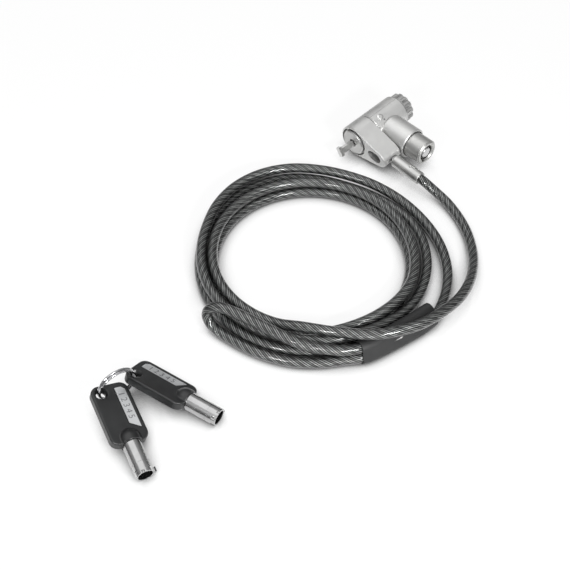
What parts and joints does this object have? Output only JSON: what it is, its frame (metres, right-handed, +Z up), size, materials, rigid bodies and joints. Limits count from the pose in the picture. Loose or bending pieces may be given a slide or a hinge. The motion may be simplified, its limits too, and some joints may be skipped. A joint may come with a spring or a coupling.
{
  "type": "laptop cable lock",
  "caption": "Keyed cable lock with a T-bar head, fluted turning knob, side lock cylinder, swivel collar and ferrule, coiled coated steel cable with a sleeved eye, and tubular keys on a ring",
  "frame": {"origin": "centre of the nose's seating face, where the lock head meets the laptop's slot", "axes": "+Z up; the barrel runs toward +X, knob end up by 6 degrees; the plunger and the ferrule point toward -Y; the floor is 10 mm below the origin"},
  "size_m": [0.2673, 0.146, 0.0247],
  "materials": {
    "body_metal": "satin cast zinc, nickel plated",
    "nose_metal": "smooth nickel",
    "rivet_metal": "bright",
    "dark_steel": "dark steel",
    "spring_steel": "bright steel",
    "knob_metal": "satin nickel",
    "plunger_metal": "satin nickel with bright edges",
    "brass": "plain",
    "plug_metal": "nickel plated",
    "ferrule_metal": "satin nickel",
    "cable_coat": "smoky clear coat over a twisted steel rope",
    "crimp_metal": "plain",
    "sleeve_black": "shrunk sleeve, matt",
    "ring_steel": "bright nickel",
    "bow_plastic": "fine grained black",
    "key_nickel": "bright nickel",
    "plate_silver": "satin silver plate, left plain"
  },
  "bodies": {
    "cable": {"ferrule": "ferrule_metal", "swivel_pin": "dark_steel", "cable_lead": "cable_coat", "cable_coil": "cable_coat", "cable_eye": "cable_coat", "eye_crimp": "crimp_metal", "sleeve": "sleeve_black"},
    "collar": {"swivel_collar": "body_metal"},
    "lock": {"lock_body": "body_metal", "back_cover": "body_metal", "body_rivet": "rivet_metal", "dowel_pin": "dark_steel", "stop_pin": "dark_steel", "nose_plate": "nose_metal", "plunger_spring": "spring_steel", "knob_washer": "spring_steel"},
    "knob": {"knob": "knob_metal", "knob_screw": "dark_steel", "t_bar": "nose_metal"},
    "plunger": {"plunger_shell": "plunger_metal", "driver_block": "brass", "locking_bolt": "dark_steel", "pin_springs": "spring_steel"},
    "plug": {"plug": "plug_metal", "keyway_post": "plug_metal"},
    "key_pins": {"key_pins": "spring_steel"},
    "driver_pins": {"driver_pins": "spring_steel"},
    "ring": {"key_ring": "ring_steel"},
    "key_1": {"key_1_bow": "bow_plastic", "key_1_shaft": "key_nickel", "key_1_plate": "plate_silver"},
    "key_2": {"key_2_bow": "bow_plastic", "key_2_shaft": "key_nickel", "key_2_plate": "plate_silver"}
  },
  "joints": [
    {"name": "ferrule_swivel", "type": "hinge", "parent": "cable", "child": "collar", "pos_m": [0.00796, 0, 0.00084], "axis": [0.0055, -0.9986, -0.052], "range_deg": [-80, 80]},
    {"name": "collar_swivel", "type": "hinge", "parent": "collar", "child": "lock", "pos_m": [0, 0, 0], "axis": [0.9945, 0, 0.1045], "continuous": true},
    {"name": "knob_turn", "type": "hinge", "parent": "lock", "child": "knob", "pos_m": [0, 0, 0], "axis": [0.9945, 0, 0.1045], "range_deg": [0, 90]},
    {"name": "plunger_push", "type": "slide", "parent": "lock", "child": "plunger", "axis": [0, 1, 0], "range_m": [0, 0.0046], "stiffness_N_per_m": 500},
    {"name": "plug_turn", "type": "hinge", "parent": "plunger", "child": "plug", "pos_m": [0.02357, 0, 0.00248], "axis": [0, -1, 0], "range_deg": [0, 102.86]},
    {"name": "key_pins_push", "type": "slide", "parent": "plug", "child": "key_pins", "axis": [0, 1, 0], "range_m": [0, 0.001], "stiffness_N_per_m": 200},
    {"name": "driver_pins_push", "type": "slide", "parent": "plunger", "child": "driver_pins", "axis": [0, 1, 0], "range_m": [0, 0.001]},
    {"name": "ring_lift", "type": "slide", "parent": "cable", "child": "ring", "axis": [0, 0, 1], "range_m": [0, 0.06]},
    {"name": "key_1_swing", "type": "hinge", "parent": "ring", "child": "key_1", "pos_m": [-0.21169, -0.0477, -0.00002], "axis": [0.2856, -0.1677, 0.9436], "range_deg": [-8, 8]},
    {"name": "key_2_swing", "type": "hinge", "parent": "ring", "child": "key_2", "pos_m": [-0.19337, -0.0493, -0.0006], "axis": [0.4525, 0.08, 0.8882], "range_deg": [-8, 8]}
  ],
  "couplings": [
    {"joint": "driver_pins_push", "follows": "key_pins_push", "ratio": 1}
  ]
}
